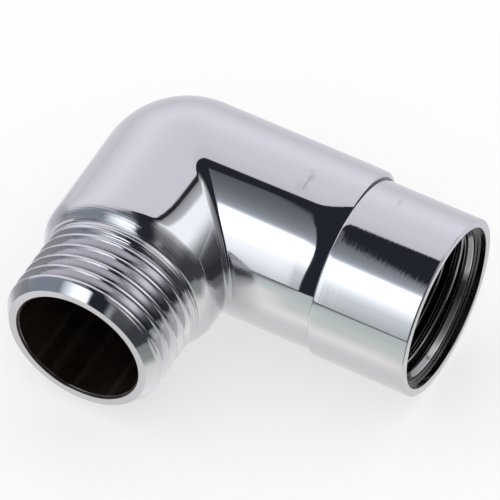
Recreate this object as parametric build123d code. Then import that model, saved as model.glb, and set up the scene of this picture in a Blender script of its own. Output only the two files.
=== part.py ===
from build123d import *
import os

os.makedirs("parts", exist_ok=True)

# A shower hose elbow in one piece: two barrel arms at right angles round a ball corner,
# a female socket on one arm and a male spigot on the other.
# Millimetres. X runs along the socket's axis and out of its mouth, -Y runs out of the spigot,
# and the origin is on the socket's axis where its full thread begins.

# Half-inch parallel pipe thread, with a plain wall on the line of its crests
thread_diameter = 20.955  # crests of the spigot's thread
thread_depth = 1.162  # crest to root

# Polished barrel
female_reach = 36.0  # spigot axis to the rim of the socket
inner_arm_length = 2.17  # inner corner to the top of the shoulder
crease_radius = 1.0  # round in the inner corner, where the two arms meet
shoulder_length = 2.75  # round between the barrel and the spigot's thread
shoulder_rise = 0.97  # height of the round
shoulder_foot_height = 0.45  # low step from the foot of the round to the thread

# Mouth and inside of the socket
counterbore_clearance = 0.045  # on the diameter, over the thread
counterbore_depth = 0.9
lead_in_depth = 0.9  # cone between the counterbore and the thread
thread_bore_length = 7.4
relief_clearance = 0.245  # on the diameter, over the thread
relief_length = 2.0  # groove behind the thread, down to the washer seat

# Socket, turned off centre towards the spigot
socket_wall = 1.0  # outside the relief groove
socket_length = 13.1
socket_offset = 0.82  # barrel axis to socket axis
socket_start_radius = 0.3  # round of the socket's edge at the step
step_radius = 1.2  # round turned on the barrel's end, where it stands above the socket
step_clearance = 0.05  # over the barrel, where that round begins
step_overlap = 0.1  # how far the two rounds reach into each other
rim_edge_radius = 0.35

# Waterway, cored with a ball end in the corner
waterway_diameter = 16.3
waterway_edge_chamfer = 0.3

# Spigot, a little off centre in the barrel too
spigot_offset = 0.14  # barrel axis to spigot axis
spigot_thread_length = 11.0  # end face to the foot of the shoulder
tip_wall = 1.25  # end face round the waterway
tip_chamfer_length = 1.9

cut_margin = 2.0  # how far a cutting shape runs past an open face

# Radii
crest_radius = thread_diameter / 2
thread_bore_radius = crest_radius - thread_depth
counterbore_radius = crest_radius + counterbore_clearance / 2
relief_radius = crest_radius + relief_clearance / 2
socket_radius = relief_radius + socket_wall
shoulder_foot_radius = crest_radius + shoulder_foot_height
barrel_radius = shoulder_foot_radius + shoulder_rise
waterway_radius = waterway_diameter / 2
tip_radius = waterway_radius + tip_wall

# Stations along X, from the rim inwards, and along Y, from the inner corner to the spigot's end
rim_x = counterbore_depth + lead_in_depth
step_x = rim_x - socket_length
thread_end_x = -thread_bore_length
seat_x = thread_end_x - relief_length
spigot_x = rim_x - female_reach
shoulder_top_y = socket_offset - barrel_radius - inner_arm_length
shoulder_foot_y = shoulder_top_y - shoulder_length
tip_y = shoulder_foot_y - spigot_thread_length
tip_chamfer_y = tip_y + tip_chamfer_length

corner_x = spigot_x - spigot_offset
corner = Location((corner_x, socket_offset, 0))
corner_axis = Axis((corner_x, 0, 0), (0, 1, 0))
spigot_axis = Axis((spigot_x, 0, 0), (0, 1, 0))
socket_axis = Axis((0, 0, 0), (1, 0, 0))


def turned(outline, axis):
    """A solid turned about an axis from a half profile in the XY plane."""
    return revolve(make_face(Polyline(*outline, close=True)), axis)


# Female arm, with its end rounded by a cut that is turned about the socket's axis
barrel_end_x = step_x + step_overlap / 2
female_arm = turned(
    [
        (corner_x, socket_offset),
        (corner_x, socket_offset + barrel_radius),
        (barrel_end_x, socket_offset + barrel_radius),
        (barrel_end_x, socket_offset),
    ],
    Axis((0, socket_offset, 0), (1, 0, 0)),
)
step_form_radius = barrel_radius + socket_offset + step_clearance
step_form = turned(
    [
        (corner_x - cut_margin, 0),
        (corner_x - cut_margin, step_form_radius),
        (barrel_end_x, step_form_radius),
        (barrel_end_x, 0),
    ],
    socket_axis,
)
step_edge = step_form.edges().filter_by(GeomType.CIRCLE).sort_by(Axis.X)[-1]
female_arm = female_arm & fillet(step_edge, step_radius)

# Male arm, with the round shoulder above the spigot's thread
shoulder_top = (corner_x + barrel_radius, shoulder_top_y)
shoulder_foot = (corner_x + shoulder_foot_radius, shoulder_foot_y)
male_arm_sides = Polyline(
    shoulder_foot,
    (corner_x, shoulder_foot_y),
    (corner_x, socket_offset),
    (corner_x + barrel_radius, socket_offset),
    shoulder_top,
)
shoulder = TangentArc(shoulder_top, shoulder_foot, tangent=(0, -1))
male_arm = revolve(make_face([male_arm_sides, shoulder]), corner_axis)

# Barrel: the ball corner and its two arms, with a rounded crease where they meet inside
barrel = corner * Sphere(barrel_radius) + female_arm + male_arm
barrel = fillet(barrel.edges().filter_by(GeomType.ELLIPSE), crease_radius)

# Socket: a plain turned sleeve with a rounded start and rim
socket_start_x = step_x - step_overlap / 2
socket = turned(
    [
        (socket_start_x, 0),
        (socket_start_x, socket_radius),
        (rim_x, socket_radius),
        (rim_x, 0),
    ],
    socket_axis,
)
socket_rings = socket.edges().filter_by(GeomType.CIRCLE).sort_by(Axis.X)
socket = fillet(socket_rings[0], socket_start_radius)
socket_rim = socket.edges().filter_by(GeomType.CIRCLE).sort_by(Axis.X)[-1]
socket = fillet(socket_rim, rim_edge_radius)

# Spigot: the plain wall of the thread and its chamfered tip
spigot = turned(
    [
        (spigot_x, 0),
        (spigot_x + crest_radius, 0),
        (spigot_x + crest_radius, tip_chamfer_y),
        (spigot_x + tip_radius, tip_y),
        (spigot_x, tip_y),
    ],
    spigot_axis,
)

# Inside of the socket: counterbore, lead-in, thread wall, relief groove, washer seat, waterway
socket_bore = turned(
    [
        (rim_x + cut_margin, 0),
        (rim_x + cut_margin, counterbore_radius),
        (lead_in_depth, counterbore_radius),
        (0, thread_bore_radius),
        (thread_end_x, thread_bore_radius),
        (thread_end_x, relief_radius),
        (seat_x, relief_radius),
        (seat_x, waterway_radius),
        (spigot_x, waterway_radius),
        (spigot_x, 0),
    ],
    socket_axis,
)

# Inside of the spigot: the waterway and the small chamfer at its edge
spigot_bore = turned(
    [
        (spigot_x, 0),
        (spigot_x + waterway_radius, 0),
        (spigot_x + waterway_radius, tip_y + waterway_edge_chamfer),
        (spigot_x + waterway_radius + waterway_edge_chamfer, tip_y),
        (spigot_x + waterway_radius + waterway_edge_chamfer, tip_y - cut_margin),
        (spigot_x, tip_y - cut_margin),
    ],
    spigot_axis,
)
bore_corner = Location((spigot_x, 0, 0)) * Sphere(waterway_radius)

elbow_body = barrel + socket + spigot - (socket_bore + spigot_bore + bore_corner)
export_step(elbow_body, "parts/elbow_body.step")
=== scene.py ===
import bpy
import numpy as np
from mathutils import Matrix


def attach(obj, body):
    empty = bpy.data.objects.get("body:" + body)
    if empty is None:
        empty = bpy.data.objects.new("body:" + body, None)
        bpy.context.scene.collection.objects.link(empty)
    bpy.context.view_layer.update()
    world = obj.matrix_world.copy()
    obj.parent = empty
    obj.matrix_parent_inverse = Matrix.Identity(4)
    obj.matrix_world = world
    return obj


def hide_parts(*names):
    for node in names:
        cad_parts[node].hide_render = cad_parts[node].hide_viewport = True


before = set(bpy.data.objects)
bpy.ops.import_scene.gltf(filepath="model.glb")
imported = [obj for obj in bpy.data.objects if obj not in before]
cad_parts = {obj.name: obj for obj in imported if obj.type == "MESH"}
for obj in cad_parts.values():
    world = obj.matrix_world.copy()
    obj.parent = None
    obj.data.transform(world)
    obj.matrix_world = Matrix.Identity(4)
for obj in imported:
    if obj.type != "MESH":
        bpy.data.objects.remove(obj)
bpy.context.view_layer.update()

print("cad frame loaded")

# Elbow, in millimetres: X runs out of the socket, -Y out of the spigot
elbow = {
    "columns": 192,
    "barrelRadius": 11.8975,
    "barrelAxisY": 0.82,  # the socket is turned off centre
    "cornerX": -34.34,
    "creaseRadius": 0.8,  # round of the inner corner at its foot
    "creaseSpread": 0.6,  # how much wider the polish leaves it at the top
    "stepX": -11.25,  # end of the barrel
    "stepRound": 1.2,  # turned about the socket's axis
    "stepFormRadius": 12.7675,
    "stepFormSlope": 0.3,  # lifts the turned form clear of the barrel before the round
    "leanLength": 4.2,  # the polish leans the barrel in before the step
    "leanSlope": 0.2,
    "leanEnds": (95, 160),  # degrees from the inside of the bend, where the lean fades
    "leanFade": 0.78,
    "stepSoft": 0.04,  # how far the polish rounds the meeting of lean and step
    "socketLean": (1.0, 0.03),  # length and amount, at the socket's start
    "grooveShadeFade": ((0.7, 0.95), (0.05, 0.4)),  # where the groove's painted shade fades on the barrel's and the socket's side
    "creaseFade": 0.14,  # how soon the crease closes towards the sides
    "cornerRings": 33,
    "waterwayRings": 17,
    "socketStartX": -11.35,
    "socketStartRound": (0.3, 0.7),  # along and across
    "socketRadius": 11.6,
    "rimX": 1.8,
    "rimRound": 0.22,
    "counterboreRadius": 10.5,
    "counterboreX": 0.9,
    "ledgeRadius": 10.2,
    "ledgeX": 0.6,
    "leadInRadius": 9.9,
    "leadInX": 0.35,
    "leadInSlope": 0.58,
    "threadBoreRadius": 9.3155,
    "threadEndX": -7.4,
    "reliefRadius": 10.6,
    "seatX": -9.4,
    "waterwayRadius": 8.15,
    "spigotX": -34.2,
    "shoulderLeanY": -10.2,  # the polish leans the arm in before the shoulder
    "shoulderTopY": -13.137,
    "shoulderRound": 3.3,
    "shoulderTilts": (2.2, 36.0),
    "shoulderEndRadius": 10.75,
    "shoulderPolished": 5,  # rings of the shoulder that keep the barrel's polish
    "footStep": 0.08,
    "footLength": 0.4,
    "footRounds": (0.1, 0.08),
    "tipY": -26.9975,
    "tipRadius": 9.4,
    "tipLength": 1.9,
    "tipSlopes": (0.75, 0.66),  # at the end face and at the thread
    "waterwayChamfer": 0.3,
    "waterwayCrease": 0.3,
    "tipRound": 0.06,
    "tipSoft": 0.05,
    "seatRounds": (0.1, 0.2, 0.1),
    "mouthRounds": (0.02, 0.05, 0.05, 0.05, 0.05, 0.12),
}

# Half-inch parallel pipe thread, right-handed
thread = {
    "crestRadius": 10.4775,
    "depth": 1.162,
    "pitch": 1.814,
    "flank": 1.921,  # rise of a flank over its run
    "crestHalf": 0.2,  # half width of a crest
    "soft": 0.06,  # how far crests and roots are rounded
    "maleCrestY": -21.6,  # a crest of the spigot, at the angle below
    "maleCrestAngle": np.radians(80),
    "femaleCrestX": -1.2,
    "maleStep": 0.06,  # between rings
    "femaleStep": 0.09,
    "footRunOut": (0.8, 2.5),  # from the shoulder's foot
    "tipRunOut": (1.2, 2.1),  # from the end face
    "innerRunOut": (0.3, 1.1),  # from the relief groove
    "mouthRunOut": (0.1, 0.9),
    "mouthSoft": 0.04,
    "markDepth": 0.03,  # turning marks before the first crest
    "markPitch": 0.42,
    "markStart": (0.45, 0.7),
    "markEnd": (1.4, 2.4),
}

turn = np.linspace(0, 2 * np.pi, elbow["columns"], endpoint=False)  # 0 is the inside of the bend


# Ring round an axis along X: the radius turned by the angle, which starts on the spigot's side
def ringX(x, radius, angle, axisY=0.0):
    return np.stack(np.broadcast_arrays(x, axisY - radius * np.cos(angle), radius * np.sin(angle)), -1)


# Ring round an axis along Y: the radius turned by the angle, which starts on the socket's side
def ringY(y, radius, angle, axisX):
    return np.stack(np.broadcast_arrays(axisX + radius * np.cos(angle), y, radius * np.sin(angle)), -1)


# Line through corners, each rounded by an arc that touches both of its sides: the arc's middle is on
# the bisector, at the radius over the sine of half the angle
def roundedLine(corners, rounds, steps=6, hold=0.03):
    corners = np.array(corners, float)
    points = [corners[:1]]
    for before, corner, after, size in zip(corners[:-2], corners[1:-1], corners[2:], rounds):
        toBefore = (before - corner) / np.linalg.norm(before - corner)
        toAfter = (after - corner) / np.linalg.norm(after - corner)
        half = np.arccos(np.clip(toBefore @ toAfter, -1, 1)) / 2
        reach = size / np.tan(half)
        bisector = (toBefore + toAfter) / np.linalg.norm(toBefore + toAfter)
        middle = corner + bisector * size / np.sin(half)
        first, last = corner + toBefore * reach - middle, corner + toAfter * reach - middle
        sweep, t = np.pi - 2 * half, np.linspace(0, 1, steps + 1)[:, None]
        arc = middle + (np.sin((1 - t) * sweep) * first + np.sin(t * sweep) * last) / np.sin(sweep)
        points += [corner + toBefore * (reach + hold), arc, corner + toAfter * (reach + hold)]
    points.append(corners[-1:])
    return np.vstack([np.atleast_2d(p) for p in points])


# Smooth step from 0 to 1 between two values: three squares of the share less two cubes
def ease(value, start, end):
    t = np.clip((value - start) / (end - start), 0, 1)
    return t * t * (3 - 2 * t)


# Smaller of two heights with a soft corner: minus the logarithm of the summed exponentials
def softMin(a, b, soft):
    return -soft * np.logaddexp(-a / soft, -b / soft)


# Depth below the crest over one pitch: a trapezium with soft corners, whole phases on the crests
def threadDepth(phase):
    across = np.abs(phase - np.round(phase)) * thread["pitch"]
    flank = thread["flank"] * (across - thread["crestHalf"])
    raised = -softMin(-flank, 0 * flank, thread["soft"])
    return softMin(raised, 0 * flank + thread["depth"], thread["soft"])


rows, finishes, paintedShade = [], [], []


# Adds rings to the closed surface, with the finish of the faces that follow each ring and a share of painted
# shade at each point
def addRings(rings, finish, shadeAmount=None):
    rows.append(rings)
    finishes.extend([finish] * len(rings))
    paintedShade.append(np.zeros(rings.shape[:2]) if shadeAmount is None else shadeAmount)


# Values down a column, one for each ring
def column(values):
    return np.asarray(values, float)[:, None]


radius, axisY = elbow["barrelRadius"], elbow["barrelAxisY"]
startX = elbow["socketStartX"]
startAlong, startAcross = elbow["socketStartRound"]
leanStartX = elbow["stepX"] - elbow["leanLength"]
roundX = elbow["stepX"] - elbow["stepRound"]
fromInside = np.degrees(np.pi - np.abs(turn - np.pi))
leanShare = 1 - elbow["leanFade"] * ease(fromInside, *elbow["leanEnds"])


# Distance from the barrel's axis to a circle round the socket's axis, along each column:
# the offset's part along it, plus the root of the radius squared less the part across squared
def fromBarrel(size):
    return axisY * np.cos(turn) + np.sqrt(size**2 - (axisY * np.sin(turn)) ** 2)


# Radius of the barrel near its end: its slope grows with the square of the way,
# and a round turned about the socket's axis cuts it off
def barrelEnd(x):
    lean = elbow["leanSlope"] / (3 * elbow["leanLength"] ** 2) * np.clip(x - leanStartX, 0, None) ** 3
    over = np.clip(x - roundX, 0, elbow["stepRound"])
    turned = elbow["stepFormRadius"] - elbow["stepRound"] + np.sqrt(elbow["stepRound"] ** 2 - over**2)
    turned = turned + elbow["stepFormSlope"] * np.clip(roundX - x, 0, None)
    return softMin(radius - lean * leanShare, fromBarrel(turned), elbow["stepSoft"])


# Radius of the socket near its start: a quarter of an ellipse with a faint lean
def socketStart(x):
    length, amount = elbow["socketLean"]
    back = np.clip(1 - (x - startX) / startAlong, 0, 1)
    lean = amount * np.clip(length - (x - startX), 0, None) ** 2
    return elbow["socketRadius"] - startAcross * (1 - np.sqrt(1 - back**2)) - lean


# Groove between barrel and socket: halve the interval until the two surfaces meet
near, far = np.full_like(turn, startX), np.full_like(turn, elbow["stepX"])
for halving in range(40):
    middle = (near + far) / 2
    above = barrelEnd(middle) > fromBarrel(socketStart(middle))
    near, far = np.where(above, middle, near), np.where(above, far, middle)
grooveX = (near + far) / 2
grooveR = np.minimum(barrelEnd(grooveX), fromBarrel(socketStart(grooveX)))
socketTurn = np.arctan2(grooveR * np.sin(turn), grooveR * np.cos(turn) - axisY)  # from the socket's axis
barrelShadeFade, socketShadeFade = elbow["grooveShadeFade"]

# Barrel from the groove to the corner
# The groove's ring and the barrel's end take painted shade, fading away from the groove
addRings(ringX(grooveX[None, :], grooveR[None, :], turn, axisY), "barrel", 1 + 0 * turn[None, :])
grooveSide = np.arcsin(np.clip((grooveX - 0.004 - roundX) / elbow["stepRound"], -1, 1))
share = column(np.linspace(1, 0, 15))
endX = roundX + elbow["stepRound"] * np.sin(grooveSide * share)
addRings(ringX(endX, barrelEnd(endX), turn, axisY), "barrel", ease(share, *barrelShadeFade) + 0 * turn)
leanX = column(np.linspace(roundX, leanStartX, 12)[1:])
addRings(ringX(leanX, barrelEnd(leanX), turn, axisY), "barrel")

# Corner: in each plane of constant height, an arc between the two arms. Outside it is the ball
side = radius * np.cos(turn)
creaseRound = elbow["creaseRadius"] + elbow["creaseSpread"] * np.sin(turn) ** 8
creaseRound = creaseRound * ease(np.cos(turn), 0, elbow["creaseFade"])
arcRadius = np.where(side > 0, creaseRound, -side)
arcMiddle = np.where(side > 0, side + arcRadius, 0.0)
heightZ = radius * np.sin(turn)
share = column([0, 0.02, 0.5, 0.97])
straightX = (leanStartX - 0.05) * (1 - share) + (elbow["cornerX"] + arcMiddle) * share
addRings(ringX(straightX, radius, turn, axisY), "barrel")
bend = column(np.linspace(0, np.pi / 2, elbow["cornerRings"]))
cornerX = elbow["cornerX"] + arcMiddle - arcRadius * np.sin(bend)
cornerY = axisY - arcMiddle + arcRadius * np.cos(bend)
addRings(np.stack(np.broadcast_arrays(cornerX, cornerY, heightZ), -1), "barrel")
firstTilt, tilt = np.radians(elbow["shoulderTilts"])
leanWay = elbow["shoulderLeanY"] - elbow["shoulderTopY"]


# Drop of the spigot's arm before its shoulder: the slope grows with the square of the way
def shoulderLean(y):
    return np.tan(firstTilt) / (3 * leanWay**2) * np.clip(elbow["shoulderLeanY"] - y, 0, leanWay) ** 3


creaseEndY = axisY - arcMiddle
share = column([0.03, 0.12, 0.25, 0.4, 0.55, 0.7, 0.85, 0.97])
straightY = creaseEndY * (1 - share) + elbow["shoulderTopY"] * share
leanDrop = shoulderLean(straightY) - shoulderLean(creaseEndY)
addRings(ringY(straightY, radius - leanDrop, turn, elbow["cornerX"]), "barrel")

# Shoulder: an arc that leaves the barrel, a short cone and a low step to the thread
around = np.linspace(firstTilt, tilt, 16)
arcY = elbow["shoulderTopY"] - elbow["shoulderRound"] * (np.sin(around) - np.sin(firstTilt))
arcR = radius - shoulderLean(arcY[0]) - elbow["shoulderRound"] * (np.cos(firstTilt) - np.cos(around))
shoulderRings = ringY(column(arcY), column(arcR), turn, elbow["cornerX"])
addRings(shoulderRings[: elbow["shoulderPolished"]], "barrel")
addRings(shoulderRings[elbow["shoulderPolished"] :], "turned")
footR = elbow["shoulderEndRadius"]
footY = arcY[-1] - (arcR[-1] - footR) / np.tan(tilt)
foot = roundedLine(
    [
        (arcY[-1] - 0.06, arcR[-1] - 0.06 * np.tan(tilt)),
        (footY, footR),
        (footY - elbow["footStep"], thread["crestRadius"]),
        (footY - elbow["footLength"], thread["crestRadius"]),
    ],
    elbow["footRounds"],
    steps=4,
    hold=0.02,
)
axisShift = (elbow["spigotX"] - elbow["cornerX"]) * ease(foot[:, 1:], footR, thread["crestRadius"])
addRings(ringY(foot[:, :1], foot[:, 1:], turn, elbow["cornerX"] + axisShift), "turned")

# Spigot: the thread cut into the crest line, run out at both ends, and cut off by the tip's curved chamfer
maleY = column(np.arange(footY - 0.46, elbow["tipY"] + 0.12, -thread["maleStep"]))
malePhase = (maleY - thread["maleCrestY"]) / thread["pitch"]
malePhase = malePhase + (turn - thread["maleCrestAngle"]) / (2 * np.pi)
fromFoot, fromTip = footY - maleY, maleY - elbow["tipY"]
maleDepth = threadDepth(malePhase) * ease(fromFoot, *thread["footRunOut"])
maleDepth = maleDepth * ease(fromTip, *thread["tipRunOut"])
turningMarks = thread["markDepth"] * (1 - np.cos(2 * np.pi * fromFoot / thread["markPitch"]))
turningMarks = turningMarks * (1 - ease(fromFoot, *thread["markEnd"])) * ease(fromFoot, *thread["markStart"])
maleDepth = maleDepth + turningMarks
slopeLow, slopeHigh = elbow["tipSlopes"]


# Radius of the tip at a distance from the end face: a parabola, then straight on
def tipCone(way):
    near = np.clip(way, 0, elbow["tipLength"])
    curved = slopeLow * near - (slopeLow - slopeHigh) / (2 * elbow["tipLength"]) * near**2
    return elbow["tipRadius"] + curved + slopeHigh * (way - near)


maleRadius = softMin(thread["crestRadius"] - maleDepth, tipCone(fromTip), elbow["tipSoft"])
# Painted shade darkens the thread's roots, by the depth below the crest
addRings(ringY(maleY, maleRadius, turn, elbow["spigotX"]), "spigot", maleDepth / thread["depth"])

# Tip: the rest of the chamfer, the end face and the waterway's chamfered edge
water = elbow["waterwayRadius"]
tip = roundedLine(
    [
        (elbow["tipY"] + 0.11, tipCone(0.11)),
        (elbow["tipY"], elbow["tipRadius"]),
        (elbow["tipY"], water + elbow["waterwayChamfer"]),
        (elbow["tipY"] + elbow["waterwayChamfer"], water),
        (elbow["tipY"] + 1.2, water),
    ],
    [elbow["tipRound"]] * 3,
    steps=4,
    hold=0.02,
)
# A dark line and a bright edge lie between the end face and the bore: the chamfer takes the bore's dark
# finish as painted shade, and the round after it stays chrome
tipFinish = ["tip"] * 14 + ["bore"] * 2 + ["tip"] * 4 + ["bore"] * (len(tip) - 20)
for place, finish in zip(tip, tipFinish):
    addRings(ringY(place[None, :1], place[None, 1:], turn, elbow["spigotX"]), finish)

# Waterway round its corner: a ball outside and an almost sharp edge inside
side = water * np.cos(turn)
arcRadius = np.where(side > 0, elbow["waterwayCrease"] * np.cos(turn), -side)
arcMiddle = np.where(side > 0, side + arcRadius, 0.0)
bend = column(np.linspace(np.pi / 2, 0, elbow["waterwayRings"]))
cornerX = elbow["spigotX"] + arcMiddle - arcRadius * np.sin(bend)
cornerY = -arcMiddle + arcRadius * np.cos(bend)
addRings(np.stack(np.broadcast_arrays(cornerX, cornerY, water * np.sin(turn)), -1), "bore")

# Socket's inside from the waterway to the thread: washer seat and relief groove
seat = roundedLine(
    [
        (elbow["seatX"] - 3.0, water),
        (elbow["seatX"], water),
        (elbow["seatX"], elbow["reliefRadius"]),
        (elbow["threadEndX"], elbow["reliefRadius"]),
        (elbow["threadEndX"] + 0.3, elbow["threadBoreRadius"] + 0.3),
    ],
    elbow["seatRounds"],
    steps=4,
)
addRings(ringX(seat[:, :1], seat[:, 1:], socketTurn), "bore")

# Female thread: roots lie outside, and a cone opens it towards the mouth. Painted shade darkens all of it,
# most in the roots
femaleX = column(np.arange(elbow["threadEndX"] + 0.36, elbow["leadInX"] - 0.06, thread["femaleStep"]))
femalePhase = (femaleX - thread["femaleCrestX"]) / thread["pitch"] + (socketTurn - np.pi) / (2 * np.pi)
femaleDepth = threadDepth(femalePhase) * ease(femaleX - elbow["threadEndX"], *thread["innerRunOut"])
femaleDepth = femaleDepth * ease(-femaleX, *thread["mouthRunOut"])
leadIn = elbow["leadInRadius"] + elbow["leadInSlope"] * (femaleX - elbow["leadInX"])
threadWall = elbow["threadBoreRadius"] + femaleDepth
femaleRadius = -softMin(-threadWall, -leadIn + 0 * femaleDepth, thread["mouthSoft"])
addRings(ringX(femaleX, femaleRadius, socketTurn), "mouth", 0.85 + 0.15 * femaleDepth / thread["depth"])

# Mouth with two ledges, rim, then the socket's outside back to the groove. Painted shade darkens the mouth
# from the first ledge to the rim
rim = roundedLine(
    [
        (elbow["leadInX"] - 0.03, elbow["leadInRadius"] - 0.03 * elbow["leadInSlope"]),
        (elbow["leadInX"] + 0.04, elbow["leadInRadius"]),
        (elbow["ledgeX"], elbow["leadInRadius"]),
        (elbow["ledgeX"], elbow["ledgeRadius"]),
        (elbow["counterboreX"], elbow["ledgeRadius"]),
        (elbow["counterboreX"], elbow["counterboreRadius"]),
        (elbow["rimX"], elbow["counterboreRadius"]),
        (elbow["rimX"], elbow["socketRadius"]),
        (startX + 1.1, elbow["socketRadius"]),
    ],
    [*elbow["mouthRounds"], elbow["rimRound"]],
    steps=5,
    hold=0.02,
)
mouthRows = int(np.argmax(rim[:, 0] > elbow["rimX"] - 0.13))
mouthRings = ringX(rim[:mouthRows, :1], rim[:mouthRows, 1:], socketTurn)
mouthShadeShare = ease(column(rim[:mouthRows, 0]), elbow["leadInX"], elbow["ledgeX"])
addRings(mouthRings, "mouth", mouthShadeShare + 0 * socketTurn)
addRings(ringX(rim[mouthRows:, :1], rim[mouthRows:, 1:], socketTurn), "socket")
leanX = column(np.linspace(startX + elbow["socketLean"][0], startX + startAlong, 5)[:-1])
addRings(ringX(leanX, socketStart(leanX), socketTurn), "socket")
grooveTurn = np.arccos(np.clip(1 - (grooveX - startX) / startAlong, 0, 1))
share = column(np.linspace(1, 0.02, 12))
startTurn = grooveTurn + (np.pi / 2 - grooveTurn) * share
endX = startX + startAlong * (1 - np.cos(startTurn))
# The socket's start takes painted shade towards the groove
addRings(ringX(endX, socketStart(endX), socketTurn), "socket", 1 - ease(share, *socketShadeFade) + 0 * turn)

finishNames = ["barrel", "socket", "turned", "spigot", "tip", "mouth", "bore"]
points = np.concatenate(rows)
count, columns = points.shape[:2]
index = np.arange(count * columns).reshape(count, columns)
below, across = np.roll(index, -1, 0), np.roll(index, -1, 1)
quads = np.stack([index, across, np.roll(below, -1, 1), below], -1).reshape(-1, 4)

# Points that fall together where the corner's arc shrinks to nothing become one,
# and the faces there lose their repeated corners
metres = np.round(points.reshape(-1, 3) * 0.001, 9)
flat, kept, merged = np.unique(metres, axis=0, return_index=True, return_inverse=True)
quads = merged.reshape(-1)[quads]
a, b, c, d = (flat[quads[:, k]] for k in range(4))
sixVolumes = np.sum(np.cross(b - a, c - a) * a) + np.sum(np.cross(c - a, d - a) * a)
if sixVolumes < 0:
    quads = quads[:, ::-1]

single = quads != np.roll(quads, 1, axis=1)
sides = single.sum(1)
whole = sides > 2
corners = quads[single & whole[:, None]]
sides = sides[whole]

mesh = bpy.data.meshes.new("elbow")
mesh.vertices.add(len(flat))
mesh.loops.add(len(corners))
mesh.polygons.add(len(sides))
mesh.vertices.foreach_set("co", flat.ravel().astype(np.float32))
mesh.loops.foreach_set("vertex_index", corners.astype(np.int32))
mesh.polygons.foreach_set("loop_start", (np.cumsum(sides) - sides).astype(np.int32))
finishOfFace = np.repeat([finishNames.index(f) for f in finishes], columns)[whole]
mesh.polygons.foreach_set("material_index", finishOfFace.astype(np.int32))
mesh.update(calc_edges=True)
mesh.shade_smooth()
# Share of painted shade at each point
paintedShadeLayer = mesh.attributes.new("paintedShade", "FLOAT", "POINT")
paintedShadeLayer.data.foreach_set("value", np.concatenate(paintedShade).ravel()[kept].astype(np.float32))
elbowPiece = bpy.data.objects.new("elbow", mesh)
bpy.context.collection.objects.link(elbowPiece)
print("elbow surface made:", count, "rings,", int(np.sum(sides - 2)), "triangles")


# Adds a shader node, with its inputs given in order as values or as other nodes' outputs
def addNode(tree, kind, *inputs, **settings):
    made = tree.nodes.new("ShaderNode" + kind)
    for key, value in settings.items():
        setattr(made, key, value)
    for socket, value in zip(made.inputs, inputs):
        if isinstance(value, bpy.types.NodeSocket):
            tree.links.new(value, socket)
        elif value is not None:
            socket.default_value = value
    return made.outputs[0]


# Empty material and its node tree
def newMaterial(name):
    material = bpy.data.materials.new(name)
    material.use_nodes = True
    material.node_tree.nodes.clear()
    return material, material.node_tree


# Place on the piece, in metres from its origin
def objectPlace(tree):
    addNode(tree, "TexCoord")
    return tree.nodes[-1].outputs["Object"]


# Mixes two colours by an amount: the first where it is 0, the second where it is 1
def colourMix(tree, amount, first, second, kind="MIX"):
    made = tree.nodes.new("ShaderNodeMix")
    made.data_type = "RGBA"
    made.blend_type = kind
    for socket, value in zip((made.inputs[0], made.inputs[6], made.inputs[7]), (amount, first, second)):
        if isinstance(value, bpy.types.NodeSocket):
            tree.links.new(value, socket)
        else:
            socket.default_value = value
    return made.outputs[2]


plating = {
    "chrome": (0.63, 0.62, 0.66, 1),
    # dimmer chrome inside the socket's mouth, a painted shade
    "shadedMouthChrome": (0.52, 0.51, 0.52, 1),
    "rootShadeColour": (0.1, 0.085, 0.07, 1),
    "grooveAndCornerShade": (0.03, 0.034, 0.04, 1),
    "mouthShadeColour": (0.06, 0.06, 0.06, 1),
    "scuff": (0.36, 0.35, 0.39, 1),
    "hazePlace": (-0.0218, -0.0112, 0.001),  # foot of the inner corner, which no wheel reaches
    "hazeSize": 0.0065,
    "haze": 0.22,
    "cornerShade": 0.32,  # painted shade at the foot of the inner corner
    "cornerShadeSize": 0.0045,
    "scuffs": (((-0.0181, 0.0006, 0.0119), 0.0018), ((-0.007, 0.0036, 0.011), 0.0009)),  # place and size
    "scuffStretch": (1.6, 0.7, 1.0),
    "scuffRoughness": 0.2,
    "cloudScale": 260.0,  # of the haze
    "waveScale": 95.0,  # of the ripple
    "scratchScale": 1700.0,
    "scratchStretch": (1.0, 0.3, 0.3),
    "bumpHeight": 0.001,
    "shadeStart": 0.6,  # share of the shade attribute, the depth in threads, where painted shade begins
}
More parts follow.
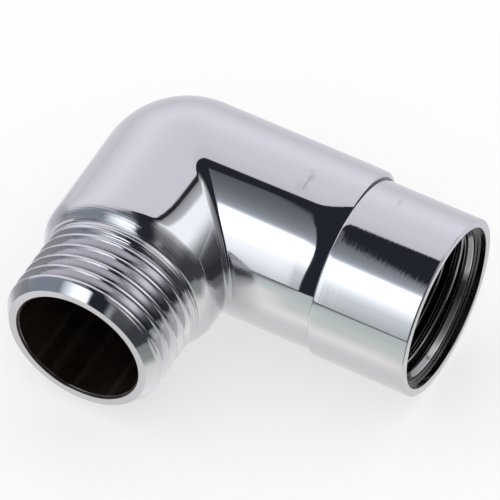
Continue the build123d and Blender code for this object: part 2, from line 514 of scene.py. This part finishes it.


# Chrome plate: an even metal with haze by noise, ripple and turning lines by a bump of summed noises,
# and scuffs mixed in by distance, painted shade at the inner corner by distance, and painted shade in
# grooves and recesses by an attribute
def chromePlate(
    name,
    colour,
    roughness,
    haze,
    ripple,
    lines=0.0,
    lineAxis="X",
    lineScale=2200.0,
    shadeAmount=0.0,
    shadeColour="rootShadeColour",
):
    material, tree = newMaterial(name)
    place = objectPlace(tree)
    cloud = addNode(tree, "TexNoise", place, None, plating["cloudScale"], 4.0, 0.6)
    wave = addNode(tree, "TexNoise", place, None, plating["waveScale"], 1.0, 0.4)
    height = addNode(tree, "Math", wave, ripple, operation="MULTIPLY")
    if lines:
        parts = tree.nodes.new("ShaderNodeSeparateXYZ")
        tree.links.new(place, parts.inputs[0])
        station = parts.outputs[lineAxis]
        marks = addNode(tree, "TexNoise", None, station, lineScale, 3.0, 0.7, noise_dimensions="1D")
        height = addNode(tree, "Math", marks, lines, height, operation="MULTIPLY_ADD")
    bump = tree.nodes.new("ShaderNodeBump")
    bump.inputs["Strength"].default_value = 1.0
    bump.inputs["Distance"].default_value = plating["bumpHeight"]
    tree.links.new(height, bump.inputs["Height"])
    base = colour
    rough = addNode(tree, "MapRange", cloud, 0.3, 0.75, roughness - haze, roughness + haze)
    drawn = addNode(tree, "VectorMath", place, plating["scratchStretch"], operation="MULTIPLY")
    scratch = addNode(tree, "TexNoise", drawn, None, plating["scratchScale"], 1.0, 0.5)
    broken = addNode(tree, "MapRange", scratch, 0.4, 0.62, 0.0, 0.75)
    for spot, size in plating["scuffs"]:
        offset = addNode(tree, "VectorMath", place, spot, operation="SUBTRACT")
        stretched = addNode(tree, "VectorMath", offset, plating["scuffStretch"], operation="MULTIPLY")
        addNode(tree, "VectorMath", stretched, operation="LENGTH")
        near = addNode(tree, "MapRange", tree.nodes[-1].outputs["Value"], size, size * 0.2, 0.0, 1.0)
        worn = addNode(tree, "Math", near, broken, operation="MULTIPLY")
        base = colourMix(tree, worn, base, plating["scuff"])
        rough = addNode(tree, "Math", worn, plating["scuffRoughness"], rough, operation="MULTIPLY_ADD")
    addNode(tree, "VectorMath", place, plating["hazePlace"], operation="DISTANCE")
    fromCorner = tree.nodes[-1].outputs["Value"]
    unreached = addNode(tree, "MapRange", fromCorner, plating["hazeSize"], 0.0, 0.0, plating["haze"])
    rough = addNode(tree, "Math", unreached, rough, operation="ADD")
    # Painted shade at the foot of the inner corner, darkest at its middle
    cornerShadeShare = addNode(tree, "MapRange", fromCorner, plating["cornerShadeSize"], 0.0, 0.0, plating["cornerShade"])
    base = colourMix(tree, cornerShadeShare, base, plating["grooveAndCornerShade"])
    # Painted shade: a dark colour mixed in by the attribute, above its start
    if shadeAmount:
        addNode(tree, "Attribute", attribute_name="paintedShade")
        depth = tree.nodes[-1].outputs["Fac"]
        amount = addNode(tree, "MapRange", depth, plating["shadeStart"], 1.0, 0.0, shadeAmount)
        base = colourMix(tree, amount, base, plating[shadeColour])
    metal = tree.nodes.new("ShaderNodeBsdfPrincipled")
    metal.inputs["Metallic"].default_value = 1.0
    tree.links.new(bump.outputs[0], metal.inputs["Normal"])
    tree.links.new(rough, metal.inputs["Roughness"])
    tree.links.new(base, metal.inputs["Base Color"])
    output = tree.nodes.new("ShaderNodeOutputMaterial")
    tree.links.new(metal.outputs[0], output.inputs[0])
    return material


boreLook = {
    "dark": (0.006, 0.003, 0.002, 1),
    "brown": (0.02, 0.012, 0.008, 1),
    "streakHighlight": (0.09, 0.075, 0.055, 1),
    "stainScale": 180.0,
    "streakHighlightScale": 620.0,
    "streakHighlightShare": 0.16,
}


# Unplated inside: noise between two dark browns, and paler streaks by a noise along X, painted highlights
def darkBore(name):
    material, tree = newMaterial(name)
    stains = addNode(tree, "TexNoise", objectPlace(tree), None, boreLook["stainScale"], 5.0, 0.6)
    ramp = tree.nodes.new("ShaderNodeValToRGB")
    darkStop, brownStop = ramp.color_ramp.elements
    darkStop.position, darkStop.color = 0.35, boreLook["dark"]
    brownStop.position, brownStop.color = 0.7, boreLook["brown"]
    tree.links.new(stains, ramp.inputs[0])
    parts = tree.nodes.new("ShaderNodeSeparateXYZ")
    tree.links.new(objectPlace(tree), parts.inputs[0])
    station = parts.outputs[0]
    streakNoise = addNode(tree, "TexNoise", None, station, boreLook["streakHighlightScale"], 1.0, 0.5, noise_dimensions="1D")
    paintedStreak = addNode(tree, "MapRange", streakNoise, 0.56, 0.75, 0.0, boreLook["streakHighlightShare"])
    brown = colourMix(tree, paintedStreak, ramp.outputs[0], boreLook["streakHighlight"])
    shell = tree.nodes.new("ShaderNodeBsdfPrincipled")
    tree.links.new(brown, shell.inputs["Base Color"])
    rough = addNode(tree, "MapRange", stains, 0.3, 0.7, 0.3, 0.5)
    tree.links.new(rough, shell.inputs["Roughness"])
    shell.inputs["Specular IOR Level"].default_value = 0.3
    output = tree.nodes.new("ShaderNodeOutputMaterial")
    tree.links.new(shell.outputs[0], output.inputs[0])
    return material


for material in (
    chromePlate(
        "barrelChrome", plating["chrome"], roughness=0.04, haze=0.02, ripple=0.012,
        shadeAmount=0.95, shadeColour="grooveAndCornerShade",
    ),
    chromePlate(
        "socketChrome", plating["chrome"], roughness=0.045, haze=0.02, ripple=0.012,
        lines=0.0035, shadeAmount=0.95, shadeColour="grooveAndCornerShade",
    ),
    chromePlate(
        "turnedChrome", plating["chrome"], roughness=0.1, haze=0.04, ripple=0.015,
        lines=0.03, lineAxis="Y", lineScale=3500.0,
    ),
    chromePlate(
        "spigotChrome", plating["chrome"], roughness=0.09, haze=0.04, ripple=0.015,
        lines=0.012, lineAxis="Y", lineScale=4000.0, shadeAmount=0.5,
    ),
    chromePlate(
        "tipChrome", plating["chrome"], roughness=0.09, haze=0.03, ripple=0.012,
        lines=0.008, lineAxis="Y", lineScale=4000.0,
    ),
    chromePlate(
        "shadedMouthChrome", plating["shadedMouthChrome"], roughness=0.15, haze=0.05, ripple=0.02,
        shadeAmount=0.72, shadeColour="mouthShadeColour",
    ),
    darkBore("boreBrown"),
):
    mesh.materials.append(material)
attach(elbowPiece, "root")
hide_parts("elbow_body")
print("finishes made")

# Studio: a dark room with a pale soft box behind, a light panel in front, one on the right, and a pale floor
studio = {
    "middle": (-0.022, -0.004, 0.0),
    "roomDistance": 1.0,
    "panelDistance": 0.3,
    "softBoxPlane": (-0.6, 0.723, -0.33),  # the soft box hangs on the side that this points to
    "panelPlane": (-0.682, 0.694, -0.228),  # the panels begin here, on the other side
    "frontWhitePlane": (0.287, 0.749, 0.598),  # where the front panel turns white
    "rightWhitePlane": (-0.675, 0.731, -0.103),
    "dark": (0.022, 0.025, 0.032, 1),
    "dimBlue": (0.27, 0.3, 0.35, 1),
    "softBoxTint": (1.0, 0.99, 1.04),
    "softBoxStrength": 1.1,
    "panelStrength": 1.8,
    "frontTint": (1, 1.09, 1.17),
    "frontLow": (1, 0.965, 0.9, 1),  # colours that the panels are multiplied by towards their sides
    "frontSide": (0.66, 0.68, 0.68, 1),
    "frontLeft": (0.22, 0.24, 0.26, 1),
    "rightTint": (1, 1.045, 1.05),
    "rightEnd": (0.35, 0.36, 0.37, 1),
    "rightLeast": (0.033, 0.036, 0.04, 1),
    "leastSpan": 0.02,
    "edgeShift": 0.4,  # keeps the outline's values above 0
}

# Brightness of the soft box by height, and of the panels by share from edge to white, height and side
softBoxHeights = ((0, 0.87), (0.2, 1), (0.4, 1.05), (0.7, 0.93), (0.85, 0.9), (1, 0.75))
frontShares = ((0, 0.13), (0.4, 0.22), (0.65, 0.32), (0.85, 0.48), (0.98, 1), (1, 1.8))
frontHeights = ((0, 0.53), (0.2, 0.68), (0.4, 0.8), (0.6, 1))
rightShares = ((0, 0.3), (0.2, 0.45), (0.7, 0.67), (0.95, 1.35))
rightHeights = ((0, 0.05), (0.15, 0.13), (0.4, 0.78), (0.55, 1))
rightSides = ((-0.75, 0.04), (-0.45, 0.16), (0, 0.25), (0.3, 0.6), (0.42, 1))

# Outline of the front panel's right side, in degrees down from the top and as the X part of the direction
frontEdges = (
    (-10, -0.32),
    (0, -0.255),
    (10, -0.24),
    (16, -0.205),
    (25, -0.165),
    (38, -0.11),
    (55, -0.11),
    (75, -0.155),
    (95, -0.17),
)


# Grid of a ball: azimuth across and elevation upwards, at one distance from the middle
def ballShell(name, distance, low):
    across, up = np.meshgrid(np.linspace(0, 2 * np.pi, 121), np.linspace(np.radians(low), np.pi / 2, 49))
    ball = np.stack([np.cos(up) * np.cos(across), np.cos(up) * np.sin(across), np.sin(up)], -1) * distance
    ball = (ball + np.array(studio["middle"])).reshape(-1, 3)
    grid = np.arange(len(ball)).reshape(across.shape)
    faces = np.stack([grid[:-1, :-1], grid[1:, :-1], grid[1:, 1:], grid[:-1, 1:]], -1).reshape(-1, 4)
    shell = bpy.data.meshes.new(name)
    shell.from_pydata(ball.tolist(), [], faces.tolist())
    made = bpy.data.objects.new(name, shell)
    bpy.context.collection.objects.link(made)
    made.visible_camera = made.visible_diffuse = made.visible_shadow = False
    return made


# Direction from the middle of the studio: the place less the middle, made one long, and its three parts
def direction(tree):
    offset = addNode(tree, "VectorMath", objectPlace(tree), studio["middle"], operation="SUBTRACT")
    way = addNode(tree, "VectorMath", offset, operation="NORMALIZE")
    parts = tree.nodes.new("ShaderNodeSeparateXYZ")
    tree.links.new(way, parts.inputs[0])
    return way, parts.outputs[0], parts.outputs[1], parts.outputs[2]


# Height of a direction above a plane: their scalar product
def along(tree, way, plane):
    addNode(tree, "VectorMath", way, plane, operation="DOT_PRODUCT")
    return tree.nodes[-1].outputs["Value"]


# Share of a value's way from start to end, held between 0 and 1
def between(tree, value, start, end):
    return addNode(tree, "MapRange", value, start, end, 0.0, 1.0)


# Product of two values
def times(tree, first, second):
    return addNode(tree, "Math", first, second, operation="MULTIPLY")


# Grey or tinted level through stops of position and level, each level as a share of the top one
def byStops(tree, value, stops, top, tint=(1, 1, 1), curve="LINEAR"):
    first, last = stops[0][0], stops[-1][0]
    ramp = tree.nodes.new("ShaderNodeValToRGB")
    ramp.color_ramp.interpolation = curve
    elements = ramp.color_ramp.elements
    for number, (position, level) in enumerate(stops):
        spot = (position - first) / (last - first)
        if number in (0, len(stops) - 1):
            made = elements[0 if number == 0 else len(elements) - 1]
            made.position = spot
        else:
            made = elements.new(spot)
        made.color = (*(level / top * part for part in tint), 1)
    tree.links.new(between(tree, value, first, last), ramp.inputs[0])
    return ramp.outputs[0]


# Emission that shows where the mask is 1 and lets the view through elsewhere
def cardSurface(tree, colour, strength, mask):
    light = addNode(tree, "Emission", colour, strength)
    clear = addNode(tree, "BsdfTransparent")
    mixed = addNode(tree, "MixShader", mask, clear, light)
    output = tree.nodes.new("ShaderNodeOutputMaterial")
    tree.links.new(mixed, output.inputs[0])


room = ballShell("room", studio["roomDistance"], -8)
material, tree = newMaterial("roomWall")
way, wayX, wayY, wayZ = direction(tree)
level = byStops(tree, wayZ, softBoxHeights, studio["softBoxStrength"], studio["softBoxTint"])
leftEnd = times(tree, between(tree, wayY, -0.04, -0.16), between(tree, wayX, -0.45, -0.6))
level = colourMix(tree, leftEnd, level, studio["dimBlue"])
inBox = between(tree, along(tree, way, studio["softBoxPlane"]), -0.006, 0.006)
wall = colourMix(tree, between(tree, wayX, -0.36, -0.46), studio["dark"], studio["dimBlue"])
cardSurface(tree, colourMix(tree, inBox, wall, level), studio["softBoxStrength"], 1.0)
room.data.materials.append(material)

panels = ballShell("panels", studio["panelDistance"], -2.0)
material, tree = newMaterial("panelFace")
way, wayX, wayY, wayZ = direction(tree)
inside = times(tree, along(tree, way, studio["panelPlane"]), -1.0)


# Share of the way from the panels' edge to a white plane: the near distance over the sum of both
def shareTo(plane):
    total = addNode(tree, "Math", inside, along(tree, way, plane), operation="ADD")
    total = addNode(tree, "Math", total, studio["leastSpan"], operation="MAXIMUM")
    return addNode(tree, "Math", inside, total, operation="DIVIDE")


# Colour that is multiplied by another one, by an amount
def dimmed(amount, colour, by):
    return colourMix(tree, amount, colour, colourMix(tree, 1.0, colour, by, "MULTIPLY"))


strength = studio["panelStrength"]
front = byStops(tree, shareTo(studio["frontWhitePlane"]), frontShares, strength, studio["frontTint"])
front = colourMix(tree, 1.0, front, byStops(tree, wayZ, frontHeights, 1.0), "MULTIPLY")
low = between(tree, wayZ, 0.8, 0.6)
front = dimmed(low, front, studio["frontLow"])
sideFall = times(tree, between(tree, wayX, -0.262, -0.232), between(tree, wayZ, 0.56, 0.3))
front = dimmed(sideFall, front, studio["frontSide"])
leftFall = between(tree, wayX, -0.37, -0.67)
front = dimmed(leftFall, front, studio["frontLeft"])
right = byStops(tree, shareTo(studio["rightWhitePlane"]), rightShares, strength, studio["rightTint"])
right = colourMix(tree, 1.0, right, byStops(tree, wayZ, rightHeights, 1.0), "MULTIPLY")
right = colourMix(tree, 1.0, right, byStops(tree, wayY, rightSides, 1.0), "MULTIPLY")
rightEnd = between(tree, wayX, 0.7, 0.85)
right = dimmed(rightEnd, right, studio["rightEnd"])
right = colourMix(tree, 1.0, right, studio["rightLeast"], "LIGHTEN")
frontTurn = addNode(tree, "Math", times(tree, wayY, -1.0), wayZ, operation="ARCTAN2")
edgeStops = [(np.radians(degrees), x + studio["edgeShift"]) for degrees, x in frontEdges]
edge = byStops(tree, frontTurn, edgeStops, 1.0, curve="B_SPLINE")
shiftedX = addNode(tree, "Math", wayX, studio["edgeShift"], operation="ADD")
beforeEdge = addNode(tree, "Math", edge, shiftedX, operation="SUBTRACT")
frontMask = between(tree, beforeEdge, -0.008, 0.008)
rightward = addNode(tree, "Math", wayY, 0.17, wayX, operation="MULTIPLY_ADD")
rightMask = between(tree, rightward, 0.14, 0.29)
begun = between(tree, inside, -0.004, 0.004)
mask = times(tree, addNode(tree, "Math", frontMask, rightMask, operation="MAXIMUM"), begun)
cardSurface(tree, colourMix(tree, rightMask, front, right), strength, mask)
panels.data.materials.append(material)

# Floor: a disc, white to the camera. In the metal it shows a painted pool of light, brightest a little way
# out from the elbow, and painted shadow close to it and on the sides
floorLook = {
    "z": -0.0119,
    "radius": 0.25,
    "rings": 130,
    "spokes": 180,
    "steps": (12, 17, 24, 36, 74, 166),  # millimetres from the elbow, and the glow there
    "glow": (0.84, 0.88, 1.1, 0.83, 0.71, 0.67),
    "behindGlow": 0.8,
    "leftLoss": 0.18,  # shares of the glow that are taken away on the sides, as painted shadow
    "frontLeftLoss": 0.45,
    "frontRightLoss": 0.55,
    "tint": (1.0, 1.0, 0.97),
    "farTint": (-0.05, 0.06, 0.03),  # added far out in front
    "backTint": (0.0, 0.0, 0.08),  # added behind and on the left
    "white": 0.55,  # share that doesn't take shadow
}
distance = np.linspace(0.0, 1.0, floorLook["rings"]) ** 1.5 * floorLook["radius"]
distance, angle = np.meshgrid(distance, np.linspace(0, 2 * np.pi, floorLook["spokes"] + 1))
floorX = studio["middle"][0] + distance * np.cos(angle)
floorY = studio["middle"][1] + distance * np.sin(angle)
floorPoints = np.stack([floorX, floorY, 0 * angle + floorLook["z"]], -1).reshape(-1, 3)
grid = np.arange(distance.size).reshape(distance.shape)
floorFaces = np.stack([grid[:-1, :-1], grid[:-1, 1:], grid[1:, 1:], grid[1:, :-1]], -1).reshape(-1, 4)
floorMesh = bpy.data.meshes.new("floor")
floorMesh.from_pydata(floorPoints.tolist(), [], floorFaces.tolist())
floorPiece = bpy.data.objects.new("floor", floorMesh)
bpy.context.collection.objects.link(floorPiece)
floorX, floorY = floorPoints[:, 0] * 1000, floorPoints[:, 1] * 1000
# Distance in millimetres from the two arms' axes, and the shares of the sides where the glow's painted light
# and shadow change
fromSocketArm = np.hypot(np.clip(np.abs(floorX + 16) - 18, 0, None), floorY)
fromSpigotArm = np.hypot(floorX - elbow["spigotX"], np.clip(np.abs(floorY + 13.5) - 13.5, 0, None))
nearest = np.minimum(fromSocketArm, fromSpigotArm)
out = fromSocketArm + (nearest - fromSocketArm) * ease(-floorX, 20, 34)
behind, leftward, faraway = ease(floorY, 5, 20), ease(-floorX, 45, 65), ease(out, 22, 50)
glow = np.interp(out, floorLook["steps"], floorLook["glow"])
glow = glow + (floorLook["behindGlow"] - glow) * behind
frontLeft = ease(-floorX, 50, 75) * ease(-floorY, 8, 30)
frontRight = ease(floorX, -8, 6) * ease(-floorY, 18, 34)
glow = glow * (1 - floorLook["leftLoss"] * leftward * (1 - behind))
glow = glow * (1 - floorLook["frontLeftLoss"] * frontLeft)
glow = glow * (1 - floorLook["frontRightLoss"] * frontRight)
greenish = faraway * ease(-floorY, 15, 40) * (1 - leftward)
tint = column(floorLook["tint"]) + column(floorLook["farTint"]) * greenish
tint = tint + column(floorLook["backTint"]) * np.maximum(behind, leftward)
glowColour = np.vstack([tint * glow, np.ones(len(glow))]).T
glowLayer = floorMesh.attributes.new("glow", "FLOAT_COLOR", "POINT")
glowLayer.data.foreach_set("color", glowColour.ravel().astype(np.float32))
material, tree = newMaterial("paleFloor")
addNode(tree, "Attribute", attribute_name="glow")
mirrored = addNode(tree, "Emission", tree.nodes[-1].outputs["Color"], 1.0)
shaded = addNode(tree, "BsdfDiffuse", (1.0, 1.0, 1.0, 1))
white = addNode(tree, "Emission", (1.0, 1.0, 1.0, 1), 1.0)
plain = addNode(tree, "MixShader", floorLook["white"], shaded, white)
addNode(tree, "LightPath")
paths = tree.nodes[-1].outputs
reflected = addNode(tree, "Math", paths["Is Glossy Ray"], paths["Is Transmission Ray"], operation="MAXIMUM")
mixed = addNode(tree, "MixShader", reflected, plain, mirrored)
output = tree.nodes.new("ShaderNodeOutputMaterial")
tree.links.new(mixed, output.inputs[0])
floorMesh.materials.append(material)

world = bpy.data.worlds.new("whiteRoom")
bpy.context.scene.world = world
world.use_nodes = True
background = world.node_tree.nodes["Background"]
background.inputs["Color"].default_value = (1, 1, 1, 1)
background.inputs["Strength"].default_value = 1.0
print("studio made")

# Camera at the photograph's viewing angle, in degrees and millimetres
photoView = {
    "azimuth": 27.3727,
    "elevation": 50.5496,
    "roll": 1.3216,
    "aim": (-34.2, 0.0, 0.0),
    "distance": 700.0,
    "aside": 7.8987,
    "above": -6.4429,
    "sensor": 36.0,
    "focalShare": 5718.38 / 500,  # focal length over the picture's width
}
azimuth, elevation, roll = (np.radians(photoView[k]) for k in ("azimuth", "elevation", "roll"))
level = np.cos(elevation)
back = np.array([np.sin(azimuth) * level, -np.cos(azimuth) * level, np.sin(elevation)])
right = np.array([np.cos(azimuth), np.sin(azimuth), 0])
up = np.cross(back, right)
right, up = np.cos(roll) * right + np.sin(roll) * up, np.cos(roll) * up - np.sin(roll) * right
eye = np.array(photoView["aim"]) + back * photoView["distance"]
eye = eye + right * photoView["aside"] + up * photoView["above"]
pose = np.eye(4)
pose[:3, :3] = np.stack([right, up, back], 1)
pose[:3, 3] = eye * 0.001
camera = bpy.data.objects.new("camera", bpy.data.cameras.new("camera"))
bpy.context.collection.objects.link(camera)
camera.data.sensor_width = photoView["sensor"]
camera.data.lens = photoView["sensor"] * photoView["focalShare"]
camera.data.clip_start, camera.data.clip_end = 0.01, 20.0
camera.matrix_world = Matrix(pose.tolist())
bpy.context.scene.camera = camera
bpy.context.scene.view_settings.view_transform = "Standard"
print("camera placed")

bpy.context.view_layer.update()
